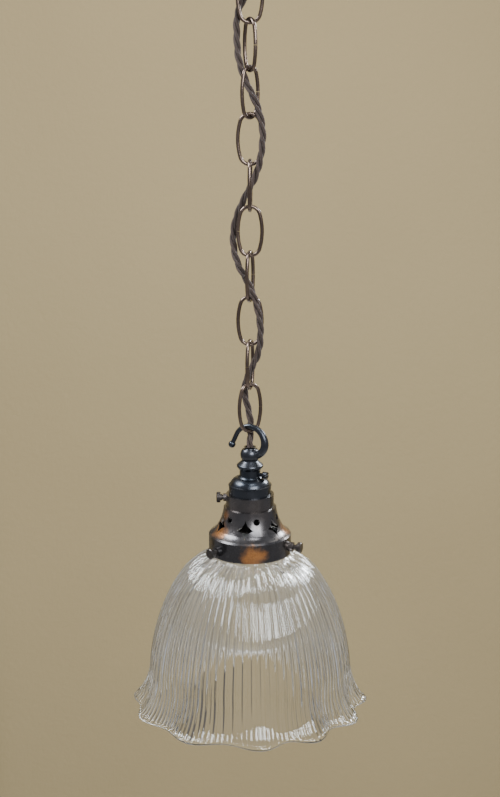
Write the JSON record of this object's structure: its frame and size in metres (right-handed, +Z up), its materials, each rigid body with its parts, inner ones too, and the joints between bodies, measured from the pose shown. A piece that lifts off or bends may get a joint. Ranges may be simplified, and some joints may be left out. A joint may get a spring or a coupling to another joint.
{
  "type": "pendant ceiling light",
  "caption": "Pendant light: ceiling rose and hook, open-link chain with laced braided flex, turned bayonet holder, pierced bronze gallery and fluted glass bell shade.",
  "frame": {"origin": "centre of the ceiling rose's mounting face, on the ceiling", "axes": "+Z up, out of the mounting face into the ceiling; the light hangs down -Z; +X to the right of a viewer looking along +Y"},
  "size_m": [0.1752, 0.1752, 0.6237],
  "materials": {
    "zinc_steel": "bright zinc plate, satin",
    "dark_bronze": "dark antique bronze, satin",
    "blued_bronze": "blue-black antique bronze, satin with polished high spots",
    "copper_bronze": "dark bronze rubbed through to copper in patches",
    "chain_bronze": "brown antique bronze, satin",
    "bare_brass": "bare brass, satin",
    "spring_steel": "bright spring wire",
    "black_plastic": "matt",
    "pale_plastic": "matt moulded insulation",
    "core_insulation": "braided over rubber",
    "braided_flex": "three twisted cores, each braided in chocolate brown",
    "clear_glass": "clear pressed glass, polished"
  },
  "bodies": {
    "rose": {"rose_backplate": "zinc_steel", "rose_cover": "dark_bronze", "ceiling_hook": "dark_bronze", "cover_nut": "dark_bronze", "flex_bush": "black_plastic", "terminal_block": "pale_plastic", "block_sleeves": "bare_brass", "block_screws": "bare_brass", "flex_span_01": "braided_flex"},
    "link_01": {"chain_link_01": "chain_bronze", "flex_span_02": "braided_flex"},
    "link_02": {"chain_link_02": "chain_bronze", "flex_span_03": "braided_flex"},
    "link_03": {"chain_link_03": "chain_bronze", "flex_span_04": "braided_flex"},
    "link_04": {"chain_link_04": "chain_bronze", "flex_span_05": "braided_flex"},
    "link_05": {"chain_link_05": "chain_bronze", "flex_span_06": "braided_flex"},
    "link_06": {"chain_link_06": "chain_bronze", "flex_span_07": "braided_flex"},
    "link_07": {"chain_link_07": "chain_bronze", "flex_span_08": "braided_flex"},
    "link_08": {"chain_link_08": "chain_bronze", "flex_span_09": "braided_flex"},
    "link_09": {"chain_link_09": "chain_bronze", "flex_span_10": "braided_flex"},
    "link_10": {"chain_link_10": "chain_bronze", "flex_span_11": "braided_flex"},
    "link_11": {"chain_link_11": "chain_bronze", "flex_span_12": "braided_flex"},
    "lamp": {"lamp_hook": "blued_bronze", "stack_bead": "blued_bronze", "holder_cap": "blued_bronze", "cord_grip": "pale_plastic", "grip_screw": "blued_bronze", "holder_barrel": "dark_bronze", "contact_block": "pale_plastic", "core_live": "core_insulation", "core_neutral": "core_insulation", "core_earth": "core_insulation", "terminal_posts": "bare_brass", "terminal_screws": "bare_brass", "spring_live": "spring_steel", "spring_neutral": "spring_steel", "gallery": "copper_bronze", "glass_shade": "clear_glass", "flex_span_13": "braided_flex", "flex_tail": "braided_flex"},
    "neck_screw_stud": {"neck_screw_stud": "dark_bronze"},
    "neck_screw_head": {"neck_screw_head": "dark_bronze"},
    "band_screw_1_stud": {"band_screw_1_stud": "dark_bronze"},
    "band_screw_1_head": {"band_screw_1_head": "dark_bronze"},
    "band_screw_2_stud": {"band_screw_2_stud": "dark_bronze"},
    "band_screw_2_head": {"band_screw_2_head": "dark_bronze"},
    "band_screw_3_stud": {"band_screw_3_stud": "dark_bronze"},
    "band_screw_3_head": {"band_screw_3_head": "dark_bronze"},
    "plunger_live": {"plunger_live": "bare_brass"},
    "plunger_neutral": {"plunger_neutral": "bare_brass"}
  },
  "joints": [
    {"name": "hook_swing", "type": "hinge", "parent": "rose", "child": "link_01", "pos_m": [0, 0, -0.0508], "axis": [1, 0, 0], "range_deg": [-20, 20], "deforming": ["flex_span_02"]},
    {"name": "link_01_02_swing", "type": "hinge", "parent": "link_01", "child": "link_02", "pos_m": [0, 0, -0.08295], "axis": [0.0349, 0.9994, 0], "range_deg": [-15, 15], "deforming": ["flex_span_03"]},
    {"name": "link_02_03_swing", "type": "hinge", "parent": "link_02", "child": "link_03", "pos_m": [0, 0, -0.11555], "axis": [1, 0, 0], "range_deg": [-15, 15], "deforming": ["flex_span_04"]},
    {"name": "link_03_04_swing", "type": "hinge", "parent": "link_03", "child": "link_04", "pos_m": [0, 0, -0.14815], "axis": [0.4384, -0.8988, 0], "range_deg": [-15, 15], "deforming": ["flex_span_05"]},
    {"name": "link_04_05_swing", "type": "hinge", "parent": "link_04", "child": "link_05", "pos_m": [0, 0, -0.18075], "axis": [0.6428, 0.766, 0], "range_deg": [-15, 15], "deforming": ["flex_span_06"]},
    {"name": "link_05_06_swing", "type": "hinge", "parent": "link_05", "child": "link_06", "pos_m": [0, 0, -0.21335], "axis": [1, 0, 0], "range_deg": [-15, 15], "deforming": ["flex_span_07"]},
    {"name": "link_06_07_swing", "type": "hinge", "parent": "link_06", "child": "link_07", "pos_m": [0, 0, -0.24595], "axis": [-0.0523, -0.9986, 0], "range_deg": [-15, 15], "deforming": ["flex_span_08"]},
    {"name": "link_07_08_swing", "type": "hinge", "parent": "link_07", "child": "link_08", "pos_m": [0, 0, -0.27855], "axis": [-1, 0, 0], "range_deg": [-15, 15], "deforming": ["flex_span_09"]},
    {"name": "link_08_09_swing", "type": "hinge", "parent": "link_08", "child": "link_09", "pos_m": [0, 0, -0.31115], "axis": [0.2588, 0.9659, 0], "range_deg": [-15, 15], "deforming": ["flex_span_10"]},
    {"name": "link_09_10_swing", "type": "hinge", "parent": "link_09", "child": "link_10", "pos_m": [0, 0, -0.34375], "axis": [0.9986, 0.0523, 0], "range_deg": [-15, 15], "deforming": ["flex_span_11"]},
    {"name": "link_10_11_swing", "type": "hinge", "parent": "link_10", "child": "link_11", "pos_m": [0, 0, -0.37635], "axis": [-0.2419, -0.9703, 0], "range_deg": [-15, 15], "deforming": ["flex_span_12"]},
    {"name": "lamp_swing", "type": "hinge", "parent": "link_11", "child": "lamp", "pos_m": [0, 0, -0.40895], "axis": [0.8988, 0.4384, 0], "range_deg": [-15, 15], "deforming": ["flex_span_13"]},
    {"name": "neck_screw_travel", "type": "slide", "parent": "lamp", "child": "neck_screw_stud", "axis": [-1, 0, 0], "range_m": [0, 0.0028]},
    {"name": "neck_screw_turn", "type": "hinge", "parent": "neck_screw_stud", "child": "neck_screw_head", "pos_m": [-0.022, 0, -0.46], "axis": [-1, 0, 0], "range_deg": [0, 1440]},
    {"name": "band_screw_1_travel", "type": "slide", "parent": "lamp", "child": "band_screw_1_stud", "axis": [0.9511, -0.309, 0], "range_m": [0, 0.0028]},
    {"name": "band_screw_1_turn", "type": "hinge", "parent": "band_screw_1_stud", "child": "band_screw_1_head", "pos_m": [0.03804, -0.01236, -0.4955], "axis": [0.9511, -0.309, 0], "range_deg": [0, 1440]},
    {"name": "band_screw_2_travel", "type": "slide", "parent": "lamp", "child": "band_screw_2_stud", "axis": [-0.2079, 0.9781, 0], "range_m": [0, 0.0028]},
    {"name": "band_screw_2_turn", "type": "hinge", "parent": "band_screw_2_stud", "child": "band_screw_2_head", "pos_m": [-0.00832, 0.03913, -0.4955], "axis": [-0.2079, 0.9781, 0], "range_deg": [0, 1440]},
    {"name": "band_screw_3_travel", "type": "slide", "parent": "lamp", "child": "band_screw_3_stud", "axis": [-0.7431, -0.6691, 0], "range_m": [0, 0.0028]},
    {"name": "band_screw_3_turn", "type": "hinge", "parent": "band_screw_3_stud", "child": "band_screw_3_head", "pos_m": [-0.02973, -0.02677, -0.4955], "axis": [-0.7431, -0.6691, 0], "range_deg": [0, 1440]},
    {"name": "plunger_live_press", "type": "slide", "parent": "lamp", "child": "plunger_live", "axis": [0, 0, 1], "range_m": [0, 0.0025], "stiffness_N_per_m": 800, "springref_m": -0.002, "deforming": ["spring_live"]},
    {"name": "plunger_neutral_press", "type": "slide", "parent": "lamp", "child": "plunger_neutral", "axis": [0, 0, 1], "range_m": [0, 0.0025], "stiffness_N_per_m": 800, "springref_m": -0.002, "deforming": ["spring_neutral"]}
  ],
  "couplings": [
    {"joint": "neck_screw_turn", "follows": "neck_screw_travel", "rad_per_m": 8976},
    {"joint": "band_screw_1_turn", "follows": "band_screw_1_travel", "rad_per_m": 8976},
    {"joint": "band_screw_2_turn", "follows": "band_screw_2_travel", "rad_per_m": 8976},
    {"joint": "band_screw_3_turn", "follows": "band_screw_3_travel", "rad_per_m": 8976}
  ]
}
